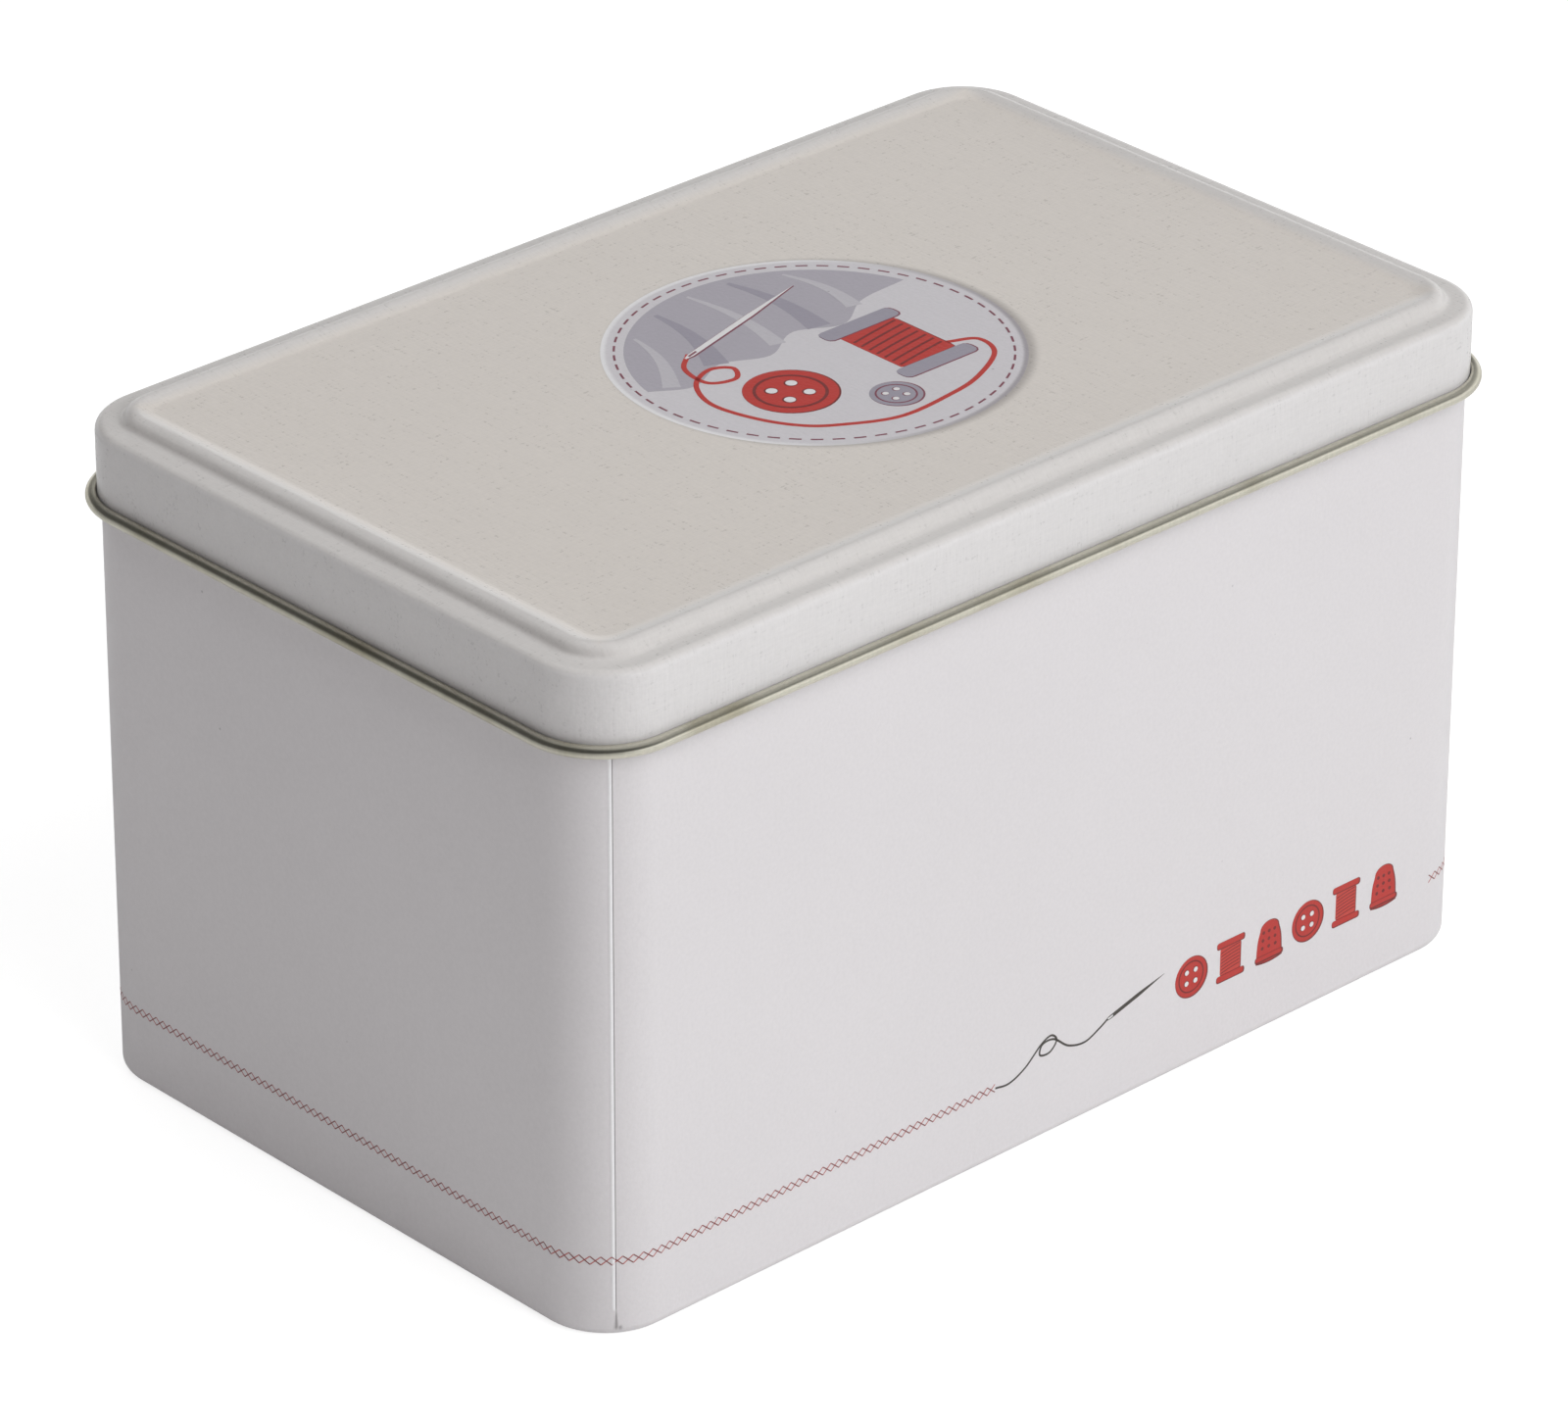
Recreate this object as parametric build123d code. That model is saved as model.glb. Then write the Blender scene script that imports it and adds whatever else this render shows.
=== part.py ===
from build123d import *
import math
import os

# Slip-lid sewing tin in thin tinplate, shut, as it stands on a table.
# Frame: millimetres, origin under the middle of the tin on the surface it stands on, +Z up,
# +X along the long side. The near corner at -X, -Y carries the side seam of the wall.
# Every piece is one sheet bent to a section that runs round a rounded rectangle. A section
# is drawn with x as the distance in from an outline and y as the height.

# Driving sizes of the tin
body_length = 190.0
body_width = 120.0
body_corner = 11.8
sheet = 0.25

# Heights above the table
ledge_height = 112.4
curl_height = 100.0

# Lid: a ledge, a raised ring inside it, and a panel sunk a little below the ring's crest
lid_clearance = 0.38
seat_gap = 0.3
lid_edge_radius = 1.5
ledge_width = 2.0
ring_run = 2.8
ring_rise = 1.9
ring_foot_radius = 1.1
ring_inner_slope = 14.0
panel_drop = 0.7
panel_foot_radius = 4.0
curl_reach = 1.85
curl_end_gap = 0.15

# Top rim of the wall, rolled inwards
rim_radius = 1.0
rim_turn = 305.0

# Foot of the wall, rolled inwards round the hooked edge of the bottom plate
foot_radius = 1.6
foot_flat = 0.8
foot_return = 0.2
seam_play = 0.1
hook_rise = 40.0
plate_edge_radius = 1.2
plate_seat_gap = 0.15
plate_margin = 1.0

# Side seam of the wall: folded layers inside, a fine line outside
seam_angle = 235.0
fold_width = 4.0
fold_layers = 3
fold_round = 0.3
fold_end_gap = 0.6
line_width = 0.2
line_depth = 0.1
nick_width = 0.5
nick_height = 3.0

# Runs shorter than this are left out of a section
NO_LENGTH = 1e-6

# Sizes that follow from the ones above
lid_offset = lid_clearance + sheet
lid_length = body_length + 2 * lid_offset
lid_width = body_width + 2 * lid_offset
lid_corner = body_corner + lid_offset
rim_top = ledge_height - sheet - seat_gap
rim_height = rim_top - rim_radius
foot_top = 2 * foot_radius
foot_inner = foot_radius + foot_flat
plate_top = foot_top + plate_seat_gap + sheet


def bent_sheet(bends, side, lead_in=0, lead_out=0):
    """Section of a sheet bent through arcs that straight runs join.

    A bend is the centre, the radius of the outer face, the start angle and the turn. Going
    along the outer face, the thickness lies to the right where side is 1, to the left at -1.
    """
    faces = []
    for depth in (0, sheet):
        arcs = [
            CenterArc(centre, radius + side * math.copysign(depth, turn), start, turn)
            for centre, radius, start, turn in bends
        ]
        points = [arcs[0] @ 0 - (arcs[0] % 0) * lead_in]
        runs = []
        for arc in arcs:
            runs.append((points[-1], arc @ 0))
            points.append(arc @ 1)
        points.append(points[-1] + (arcs[-1] % 1) * lead_out)
        runs.append((points[-2], points[-1]))
        lines = [Line(*run) for run in runs if (run[1] - run[0]).length > NO_LENGTH]
        faces.append((arcs + lines, points[0], points[-1]))
    outer, inner = faces
    ends = [Line(outer[1], inner[1]), Line(outer[2], inner[2])]
    return make_face(outer[0] + inner[0] + ends)


def carried_round(section, length, width, corner):
    """Carry a section round a rounded rectangle: four straight runs and four quarter turns."""
    ring = Part()
    for quarter in range(4):
        out = Vector(1, 0, 0).rotate(Axis.Z, 90 * quarter)
        along = Vector(0, 1, 0).rotate(Axis.Z, 90 * quarter)
        reach, run = (length, width) if quarter % 2 == 0 else (width, length)
        half_run = run / 2 - corner
        start = Plane(out * (reach / 2) - along * half_run, x_dir=-out, z_dir=along)
        ring += extrude(start * section, 2 * half_run)
        end = Plane(out * (reach / 2) + along * half_run, x_dir=-out, z_dir=along)
        centre = out * (reach / 2 - corner) + along * half_run
        ring += revolve(end * section, Axis(centre, (0, 0, 1)), 90)
    return ring


def flat_middle(length, width, corner, margin, top):
    """Flat sheet that fills the outline from the given margin inwards."""
    outline = RectangleRounded(length - 2 * margin, width - 2 * margin, corner - margin)
    return extrude(Pos(0, 0, top - sheet) * outline, sheet)


def seam_sector(inner, outer, low, high):
    """Block across the near corner on the side seam's fold, between two radii."""
    sweep_angle = math.degrees(fold_width / (body_corner - sheet))
    ring = Circle(outer) - Circle(inner)
    reach = 2 * outer
    turn_from = math.radians(seam_angle - sweep_angle)
    turn_to = math.radians(seam_angle)
    first = (reach * math.cos(turn_from), reach * math.sin(turn_from))
    last = (reach * math.cos(turn_to), reach * math.sin(turn_to))
    wedge = make_face(Polyline((0, 0), first, last, close=True))
    return extrude(Pos(0, 0, low) * (ring & wedge), high - low)


def seam_cut(width, low, high):
    """Shallow upright cut in the outside of the near corner, on the seam line."""
    block = Box(2 * line_depth, width, high - low)
    outside = Pos(body_corner, 0, (low + high) / 2)
    return Rot(0, 0, seam_angle) * outside * block


def make_body_wall():
    """Wall: one blank rolled to a rounded rectangle, rim and foot rolled inwards."""
    bends = [
        ((foot_inner, foot_radius), foot_radius, 90, -180),
        ((foot_radius, foot_radius), foot_radius, 270, -90),
        ((rim_radius, rim_height), rim_radius, 180, -rim_turn),
    ]
    section = bent_sheet(bends, 1, lead_in=foot_return)
    wall = carried_round(section, body_length, body_width, body_corner)

    corner_centre = Pos(body_corner - body_length / 2, body_corner - body_width / 2, 0)
    inner_face = body_corner - sheet
    fold_low = plate_top + fold_end_gap
    fold_high = rim_top - 2 * rim_radius - fold_end_gap
    fold = seam_sector(inner_face - fold_layers * sheet, inner_face + sheet / 2, fold_low, fold_high)
    inner_edges = fold.edges().filter_by(Axis.Z).sort_by(lambda edge: edge.center().length)[:2]
    fold = fillet(inner_edges, fold_round)
    wall += corner_centre * fold
    wall -= corner_centre * seam_cut(line_width, foot_radius, rim_height)
    wall -= corner_centre * seam_cut(nick_width, foot_radius, foot_radius + nick_height)
    return wall


def make_bottom_plate():
    """Bottom: flat plate on top of the rolled foot, its edge hooked inside the roll."""
    hook_radius = foot_radius - sheet - seam_play
    play = sheet + seam_play
    turn_x = play + plate_edge_radius
    turn_z = plate_top - plate_edge_radius
    flat_end = foot_inner + foot_radius + plate_margin
    bends = [
        ((foot_inner, foot_radius), hook_radius, hook_rise, -90 - hook_rise),
        ((foot_radius, foot_radius), hook_radius, 270, -90),
        ((turn_x, turn_z), plate_edge_radius, 180, -90),
    ]
    section = bent_sheet(bends, 1, lead_out=flat_end - turn_x)
    rim = carried_round(section, body_length, body_width, body_corner)
    return rim + flat_middle(body_length, body_width, body_corner, flat_end, plate_top)


def make_lid():
    """Lid: one drawn sheet with a sunk panel, a raised ring, a ledge and a hollow curl."""
    ledge_end = lid_edge_radius + ledge_width
    crest = ledge_end + ring_run
    crest_top = ledge_height + ring_rise
    panel_top = crest_top - panel_drop
    # Two arcs that touch make the ring's outer side: their radii add up to this.
    both_radii = (ring_run**2 + ring_rise**2) / (2 * ring_rise)
    crest_radius = both_radii - ring_foot_radius
    outer_slope = math.degrees(math.asin(ring_run / both_radii))
    # On the inner side a straight slope joins the crest's arc to the panel's.
    inner_radii = crest_radius + panel_foot_radius
    inner_angle = math.radians(ring_inner_slope)
    slope_drop = panel_drop - inner_radii * (1 - math.cos(inner_angle))
    slope_run = slope_drop / math.tan(inner_angle)
    panel_start = crest + inner_radii * math.sin(inner_angle) + slope_run
    # The curl is hollow, and its outside is the inner face of the lid's sheet turned out.
    curl_radius = (curl_reach + sheet) / 2
    curl_hollow = curl_radius - sheet
    end_reach = (curl_hollow - curl_end_gap) / curl_radius
    curl_turn = 360 - math.degrees(math.acos(end_reach))

    panel_centre = (panel_start, panel_top + panel_foot_radius)
    crest_centre = (crest, crest_top - crest_radius)
    foot_centre = (ledge_end, ledge_height + ring_foot_radius)
    edge_centre = (lid_edge_radius, ledge_height - lid_edge_radius)
    bends = [
        (panel_centre, panel_foot_radius, 270, -ring_inner_slope),
        (crest_centre, crest_radius, 90 - ring_inner_slope, ring_inner_slope + outer_slope),
        (foot_centre, ring_foot_radius, outer_slope - 90, -outer_slope),
        (edge_centre, lid_edge_radius, 90, 90),
        ((-curl_hollow, curl_height), curl_hollow, 0, -curl_turn),
    ]
    section = bent_sheet(bends, -1)
    rim = carried_round(section, lid_length, lid_width, lid_corner)
    return rim + flat_middle(lid_length, lid_width, lid_corner, panel_start, panel_top)


os.makedirs("parts", exist_ok=True)
pieces = {
    "body_wall": make_body_wall(),
    "bottom_plate": make_bottom_plate(),
    "lid": make_lid(),
}
for name, piece in pieces.items():
    export_step(piece, f"parts/{name}.step")
    size = piece.bounding_box().size
    print(f"{name}: {size.X:.2f} x {size.Y:.2f} x {size.Z:.2f} mm, {piece.volume / 1000:.2f} cm3")
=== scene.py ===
# %% [markdown]
# This lesson dresses a slip-lid sewing tin around its CAD frame. The real tin is three pieces of
# thin tinplate: a wall rolled from one blank and seamed at a corner, a bottom hooked into the
# wall's rolled foot, and a drawn lid whose hem curls outwards. The outside is lacquered, and fine
# sewing motifs are printed on it. The frame gives the sizes, so every surface here starts from it.

import bpy
import numpy as np
from mathutils import Matrix, Vector


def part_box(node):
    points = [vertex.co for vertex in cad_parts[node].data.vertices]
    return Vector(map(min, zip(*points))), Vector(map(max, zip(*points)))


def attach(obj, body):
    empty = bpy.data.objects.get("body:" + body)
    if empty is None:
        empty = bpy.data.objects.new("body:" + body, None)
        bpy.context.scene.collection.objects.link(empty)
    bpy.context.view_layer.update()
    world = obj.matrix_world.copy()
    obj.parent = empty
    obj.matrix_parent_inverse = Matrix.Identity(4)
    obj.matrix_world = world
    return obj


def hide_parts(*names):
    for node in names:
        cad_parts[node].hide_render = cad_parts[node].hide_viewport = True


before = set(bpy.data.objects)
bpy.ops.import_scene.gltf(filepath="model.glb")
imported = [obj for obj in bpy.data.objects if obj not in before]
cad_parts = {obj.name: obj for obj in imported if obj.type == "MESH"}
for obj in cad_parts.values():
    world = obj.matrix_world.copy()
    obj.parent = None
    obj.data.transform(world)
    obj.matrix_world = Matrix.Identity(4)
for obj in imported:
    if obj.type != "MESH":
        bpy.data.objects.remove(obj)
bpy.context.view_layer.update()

# %% [markdown]
# Tin makers work in millimetres, and so does this script until a mesh is made. The large sizes
# are read from the frame. The radii are those of the bending tools, the same as in the CAD.

# %% Sizes of the tin
MM = 0.001

wall_low, wall_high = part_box("body_wall")
body_length = (wall_high.x - wall_low.x) / MM
body_width = (wall_high.y - wall_low.y) / MM
rim_top = wall_high.z / MM
plate_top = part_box("bottom_plate")[1].z / MM
crest_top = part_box("lid")[1].z / MM
panel_drop = 0.7
panel_top = crest_top - panel_drop

body_corner = 11.8
sheet = 0.25
lid_offset = 0.63
print(f"body {body_length:.1f} x {body_width:.1f} mm, panel {panel_top:.2f} mm up")

# %% [markdown]
# Every piece runs round the same rounded rectangle, so one function gives the outline of the
# wall, and an inset from it gives all the others. A rounded rectangle is a small rectangle grown
# by a radius: a point on it is a point of the small rectangle plus the radius times a normal.
# Along a side the small point moves and the normal keeps still, and round a corner it is the
# other way about. The walk starts where the near corner starts, and goes anticlockwise.


# %% Walk round a rounded rectangle
def stretches(length, width, corner):
    """Length of the four corners and four sides, in walking order."""
    quarter = np.pi / 2 * corner
    return np.array([quarter, length - 2 * corner, quarter, width - 2 * corner] * 2)


def place_on(run, parts):
    """Number of the stretch that a distance falls on, and how far along that stretch it is."""
    ends = np.cumsum(parts)
    run = np.mod(run, ends[-1])
    part = np.minimum(np.searchsorted(ends, run, side="right"), len(parts) - 1)
    return part, run - (ends - parts)[part]


def round_box(run, length, width, corner):
    """Point and outward normal at a distance along a rounded rectangle."""
    part, along = place_on(run, stretches(length, width, corner))
    corners = np.array([[-1, -1], [1, -1], [1, 1], [-1, 1]])
    small_corners = corners * [length / 2 - corner, width / 2 - corner]
    start = np.repeat(small_corners, 2, axis=0)[part]
    sides = np.array([[1, 0], [0, 1], [-1, 0], [0, -1]])
    on_side = part % 2 == 1
    moved = np.where(on_side, along, 0)[..., None] * sides[part // 2]
    turned = np.radians(180 + 90 * (part // 2 + on_side)) + np.where(on_side, 0, along / corner)
    normal = np.stack([np.cos(turned), np.sin(turned)], axis=-1)
    return start + moved + corner * normal, normal


def outline(run):
    """The wall's outer face, seen from above."""
    return round_box(run, body_length, body_width, body_corner)


wall_parts = stretches(body_length, body_width, body_corner)
full_run = wall_parts.sum()


def front_run(x):
    """Distance along the outline of a place on the front wall."""
    return wall_parts[0] + wall_parts[1] / 2 + x


print(f"the outline is {full_run:.1f} mm round")

# %% [markdown]
# The real sheet is never dead flat. A rolled wall bellies by a tenth of a millimetre between its
# corners, and a drawn panel sinks a little. Nobody sees the depth, but the soft wander of the
# reflections tells the eye that this is thin metal. Both are smooth sums of sines, faded out
# at the edges. The ink uses the same functions, so it always lies on the sheet.

# %% Slight waviness of the sheet
swell_depth = 0.11
swell_fade = 34.0
swell_low = 4.0
swell_high = 97.0
belly_share = 0.7
ripple_share = 0.3
ripple_short = 17.0
ripple_long = 41.0
short_phase = 1.0
long_phase = 2.0

panel_inset = 9.83
dip_depth = 0.13
dip_fade = 15.0
dip_steady = 0.8
dip_wander = 0.2
dip_wave_x = 21.0
dip_wave_y = 17.0
dip_phase = 0.6


def smooth_step(value):
    """0 below 0, 1 above 1, and three squares less two cubes between."""
    held = np.clip(value, 0, 1)
    return held * held * (3 - 2 * held)


def wall_swell(run, height):
    """Outward swell of the wall: a belly and a ripple that fade at corners, foot and rim."""
    run = np.mod(run, full_run)
    part, along = place_on(run, wall_parts)
    edge = np.minimum(along, wall_parts[part] - along)
    on_side = np.where(part % 2 == 1, smooth_step(edge / swell_fade), 0)
    up = np.clip((height - swell_low) / (swell_high - swell_low), 0, 1)
    belly = belly_share * np.sin(np.pi * up) ** 2
    short_wave = np.sin(run / ripple_short + short_phase)
    long_wave = np.sin(run / ripple_long + long_phase)
    ripple = ripple_share * short_wave * np.sin(2 * np.pi * up) * long_wave
    return swell_depth * on_side * (belly + ripple)


def panel_dip(x, y):
    """Downward sink of the lid's panel: it fades to nothing at the panel's edge."""
    reach_x = body_length / 2 + lid_offset - panel_inset
    reach_y = body_width / 2 + lid_offset - panel_inset
    inside_x = smooth_step((reach_x - np.abs(x)) / dip_fade)
    inside_y = smooth_step((reach_y - np.abs(y)) / dip_fade)
    wander = np.sin(x / dip_wave_x + dip_phase) * np.cos(y / dip_wave_y)
    ripple = dip_steady + dip_wander * wander
    return -dip_depth * inside_x * inside_y * ripple


# %% [markdown]
# A sheet bent by tools is a chain of arcs with straight runs between them. Both faces of the
# sheet share the arcs' centres, and their radii differ by its thickness, so a section drawn this
# way is equally thick all along. Points are the inset from the outline, and the height.

# %% Sections of bent sheet
arc_step = 11.0
arc_hop = 0.7
least_arc_points = 3
near_mark = 0.02


def bent_face(bends, depth, side):
    """One face of a bent sheet. A bend is a centre, radius, start angle and turn in degrees."""
    arcs = []
    for (inset, height), radius, start, turn in bends:
        reach = radius + side * np.copysign(depth, turn)
        hops = abs(turn) * max(1 / arc_step, np.radians(reach) / arc_hop)
        count = max(least_arc_points, round(hops) + 1)
        angle = np.radians(np.linspace(start, start + turn, count))
        arcs.append(np.stack([inset + reach * np.cos(angle), height + reach * np.sin(angle)], 1))
    return np.concatenate(arcs)


def refined(points, step, extra=()):
    """The same line with more points: one at least every step, and some at extra distances."""
    hops = np.linalg.norm(np.diff(points, axis=0), axis=1)
    travelled = np.concatenate([[0], np.cumsum(hops)])
    marks = np.sort(np.concatenate([travelled, np.arange(0, travelled[-1], step), extra]))
    marks = marks[np.concatenate([[True], np.diff(marks) > near_mark])]
    return np.stack([np.interp(marks, travelled, points[:, axis]) for axis in range(2)], 1)


# %% [markdown]
# All shapes in this file become meshes in one way: rings of points, each joined to the next. A
# hollow bead joins its last ring to its first. A closed body ends in two poles. The corners of
# each face are listed so that it looks outwards, which keeps the normals right without a repair.


# %% Surfaces from rings
def skin(rings, poles=None):
    """Points and faces over rings of points of shape (rows, columns, 3)."""
    rows, columns = rings.shape[:2]
    row = np.arange(rows if poles is None else rows - 1)[:, None]
    column = np.arange(columns)[None, :]
    ahead = (row + 1) % rows
    right = (column + 1) % columns
    corners = [(row, column), (row, right), (ahead, right), (ahead, column)]
    quads = np.stack([first * columns + second for first, second in corners], axis=-1)
    points = rings.reshape(-1, 3)
    faces = [quads.reshape(-1, 4)]
    if poles is not None:
        ring = np.arange(columns)
        beside = (ring + 1) % columns
        last = (rows - 1) * columns
        low_pole = np.full(columns, rows * columns)
        faces.append(np.stack([low_pole, beside, ring], 1))
        faces.append(np.stack([last + ring, last + beside, low_pole + 1], 1))
        points = np.concatenate([points, np.asarray(poles, float)])
    return points, faces


def new_piece(name, shapes, materials, body, smooth=True):
    """Mesh object made of one or more (points, faces) shapes, riding on a CAD body."""
    start = 0
    points = []
    faces = []
    for shape_points, blocks in shapes:
        points.append(shape_points)
        faces += [face for block in blocks for face in (block + start).tolist()]
        start += len(shape_points)
    mesh = bpy.data.meshes.new(name)
    mesh.from_pydata(np.concatenate(points) * MM, [], faces)
    mesh.polygons.foreach_set("use_smooth", np.full(len(faces), smooth))
    for material in materials:
        mesh.materials.append(material)
    piece = bpy.data.objects.new(name, mesh)
    bpy.context.scene.collection.objects.link(piece)
    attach(piece, body)
    print(f"{name}: {len(mesh.vertices)} points, {len(mesh.polygons)} faces")
    return piece


# %% [markdown]
# Shader nodes are wired by small helpers: a value sets a socket, and another node's output is
# linked to it. Colours are given as the 0 to 255 numbers that a colour picker shows, and turned
# into the linear light that Blender computes with.

# %% Helpers for shader nodes
curve_toe = 0.04045
toe_slope = 12.92
curve_lift = 0.055
curve_power = 2.4


def colour(red, green, blue):
    """Linear colour of a screen colour: the sRGB curve undone."""
    seen = np.array([red, green, blue]) / 255
    body = ((seen + curve_lift) / (1 + curve_lift)) ** curve_power
    return (*np.where(seen <= curve_toe, seen / toe_slope, body).tolist(), 1.0)


def wire(tree, made, inputs):
    """Set or link a node's inputs, by socket name or number."""
    for key, value in inputs.items():
        if isinstance(value, bpy.types.NodeSocket):
            tree.links.new(value, made.inputs[key])
        else:
            made.inputs[key].default_value = value
    return made


def node(tree, kind, inputs=None, **settings):
    """New shader node with its settings and inputs."""
    made = tree.nodes.new("ShaderNode" + kind)
    for key, value in settings.items():
        setattr(made, key, value)
    return wire(tree, made, inputs or {})


def sums(tree, operation, *values):
    """Output of a Math node."""
    return node(tree, "Math", dict(enumerate(values)), operation=operation).outputs[0]


def ramp(tree, value, low, high, to_low=0.0, to_high=1.0):
    """Smooth change of a value: low becomes to_low, and high becomes to_high."""
    inputs = {"Value": value, "From Min": low, "From Max": high}
    inputs.update({"To Min": to_low, "To Max": to_high})
    return node(tree, "MapRange", inputs, interpolation_type="SMOOTHSTEP").outputs["Result"]


def mixed(tree, factor, first, second):
    """Colour between two colours. A Mix node keeps its colour sockets under these numbers."""
    factor_socket, first_socket, second_socket, colour_out = 0, 6, 7, 2
    inputs = {factor_socket: factor, first_socket: first, second_socket: second}
    return node(tree, "Mix", inputs, data_type="RGBA").outputs[colour_out]


def new_group(name, inputs, outputs):
    """Empty node group. Inputs and outputs are pairs of a name and a kind of socket."""
    tree = bpy.data.node_groups.new(name, "ShaderNodeTree")
    for label, kind in inputs:
        tree.interface.new_socket(label, in_out="INPUT", socket_type="NodeSocket" + kind)
    for label, kind in outputs:
        tree.interface.new_socket(label, in_out="OUTPUT", socket_type="NodeSocket" + kind)
    given = tree.nodes.new("NodeGroupInput").outputs
    wanted = tree.nodes.new("NodeGroupOutput").inputs
    return tree, given, wanted


def placed(tree, group, inputs):
    """A node group set into a material's tree, with its own values."""
    made = tree.nodes.new("ShaderNodeGroup")
    made.node_tree = group
    return wire(tree, made, inputs).outputs


def new_material(name):
    """Material, its node tree and its Principled shader."""
    material = bpy.data.materials.new(name)
    material.use_nodes = True
    return material, material.node_tree, material.node_tree.nodes["Principled BSDF"]


# %% [markdown]
# Lacquer stoved on tinplate is satin, not glassy. Close up it has a faint orange peel, and on
# this tin also the fine crossed threads of a linen print. Both are about a hundredth of a
# millimetre high. One group makes the grain for every lacquered or printed finish: round noise
# for the peel, and noise drawn out two ways for the threads.

# %% Group: grain of the lacquer
grain_group, grain_in, grain_out = new_group(
    "Lacquer grain",
    [("Vector", "Vector"), ("Peel", "Float"), ("Linen", "Float")],
    [("Height", "Float")],
)
peel_per_metre = 1500.0
peel_detail = 2.0
threads_per_metre = 2600.0
slubs_per_metre = 260.0
thread_detail = 1.0


def noise_about_zero(tree, vector, scale, detail):
    """Noise between about -0.5 and 0.5."""
    noise = node(tree, "TexNoise", {"Vector": vector, "Scale": scale, "Detail": detail})
    return sums(tree, "SUBTRACT", noise.outputs["Fac"], 0.5)


def drawn_noise(tree, vector, stretch, detail):
    """Noise with its own scale along each axis: a low one draws it out that way."""
    drawn = node(tree, "Mapping", {"Vector": vector, "Scale": stretch}).outputs[0]
    return noise_about_zero(tree, drawn, 1.0, detail)


place = grain_in["Vector"]
warp_scale = (threads_per_metre, slubs_per_metre, slubs_per_metre)
weft_scale = (slubs_per_metre, threads_per_metre, threads_per_metre)
peel = noise_about_zero(grain_group, place, peel_per_metre, peel_detail)
warp = drawn_noise(grain_group, place, warp_scale, thread_detail)
weft = drawn_noise(grain_group, place, weft_scale, thread_detail)
cloth = sums(grain_group, "ADD", warp, weft)
peel_part = sums(grain_group, "MULTIPLY", peel, grain_in["Peel"])
grain = sums(grain_group, "MULTIPLY_ADD", cloth, grain_in["Linen"], peel_part)
grain_group.links.new(grain, grain_out["Height"])
print("group:", grain_group.name)

# %% [markdown]
# A tin that is stored and handled gets sparse dark specks of dust on its lacquer, and its tone
# drifts a little from place to place. Each cell of a Voronoi texture has one point somewhere in
# space, and only a point that happens to lie on the surface leaves a speck there.

# %% Group: specks and drift of tone
speck_group, speck_in, speck_out = new_group(
    "Specks and drift",
    [("Vector", "Vector"), ("Specks", "Float"), ("Drift", "Float")],
    [("Factor", "Float")],
)
speck_cells_per_metre = 120.0
speck_core = 0.012
speck_reach = 0.034
drift_per_metre = 16.0
drift_detail = 3.0

place = speck_in["Vector"]
cells = node(speck_group, "TexVoronoi", {"Vector": place, "Scale": speck_cells_per_metre})
speck = ramp(speck_group, cells.outputs["Distance"], speck_core, speck_reach, 1.0, 0.0)
drift = noise_about_zero(speck_group, place, drift_per_metre, drift_detail)
speck_loss = sums(speck_group, "MULTIPLY", speck, speck_in["Specks"])
drifted = sums(speck_group, "MULTIPLY_ADD", drift, speck_in["Drift"], 1.0)
speck_group.links.new(sums(speck_group, "SUBTRACT", drifted, speck_loss), speck_out["Factor"])
print("group:", speck_group.name)

# %% [markdown]
# One function then makes every lacquered or printed finish: a base colour times the specks and
# the drift, grain that bumps the surface, and a satin sheen. The base may be a plain colour or
# the output of other nodes, so that the lid can carry a warmer panel. A thin clear coat gives
# the lid the fine bright lines that its drawn edges show.

# %% A lacquered or printed finish
grain_depth = 0.00003
grain_shade = 0.09
sheen_spread = 0.12
coat_roughness = 0.1


def lacquer(name, base, roughness=0.38, peel=1.0, linen=0.3, specks=0.35, drift=0.05, coat=0.0):
    """Satin finish. The base is a colour, or a function of the tree and the place."""
    material, tree, shader = new_material(name)
    place = node(tree, "TexCoord").outputs["Object"]
    tone = base(tree, place) if callable(base) else base[:3]
    height = placed(tree, grain_group, {"Vector": place, "Peel": peel, "Linen": linen})["Height"]
    spots = placed(tree, speck_group, {"Vector": place, "Specks": specks, "Drift": drift})
    shade = sums(tree, "MULTIPLY_ADD", height, grain_shade, spots["Factor"])
    tinted = node(tree, "VectorMath", {0: tone, "Scale": shade}, operation="SCALE")
    sheen = sums(tree, "MULTIPLY_ADD", height, sheen_spread, roughness)
    bump = node(tree, "Bump", {"Height": height, "Distance": grain_depth})
    inputs = {"Base Color": tinted.outputs[0], "Roughness": sheen}
    inputs.update({"Coat Weight": coat, "Coat Roughness": coat_roughness})
    inputs["Normal"] = bump.outputs["Normal"]
    wire(tree, shader, inputs)
    return material


# %% [markdown]
# Bare tin shows where the sheet's inner face comes to light: on the lid's curl, inside the tin
# and underneath. It is a warm bright metal. Rolling leaves fine streaks that run round the tin,
# so one noise is drawn out level and packed close in height. Curling the hem leaves finer marks
# across it, so a second noise is drawn out upwards. The curl is burnished by its rollers, and
# the rest has a thin dull lacquer over it, so one function makes both.

# %% Tinplate
streaks_round = 30.0
streaks_up = 5200.0
streak_depth = 0.000006
cross_round = 1700.0
cross_up = 90.0
line_detail = 3.0
line_shade = 0.22
clouds_per_metre = 70.0
cloud_detail = 4.0
cloud_roughness = 0.12
stain_from = -0.1
stain_to = 0.25
tin_specks = 0.3
tin_drift = 0.12


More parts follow.
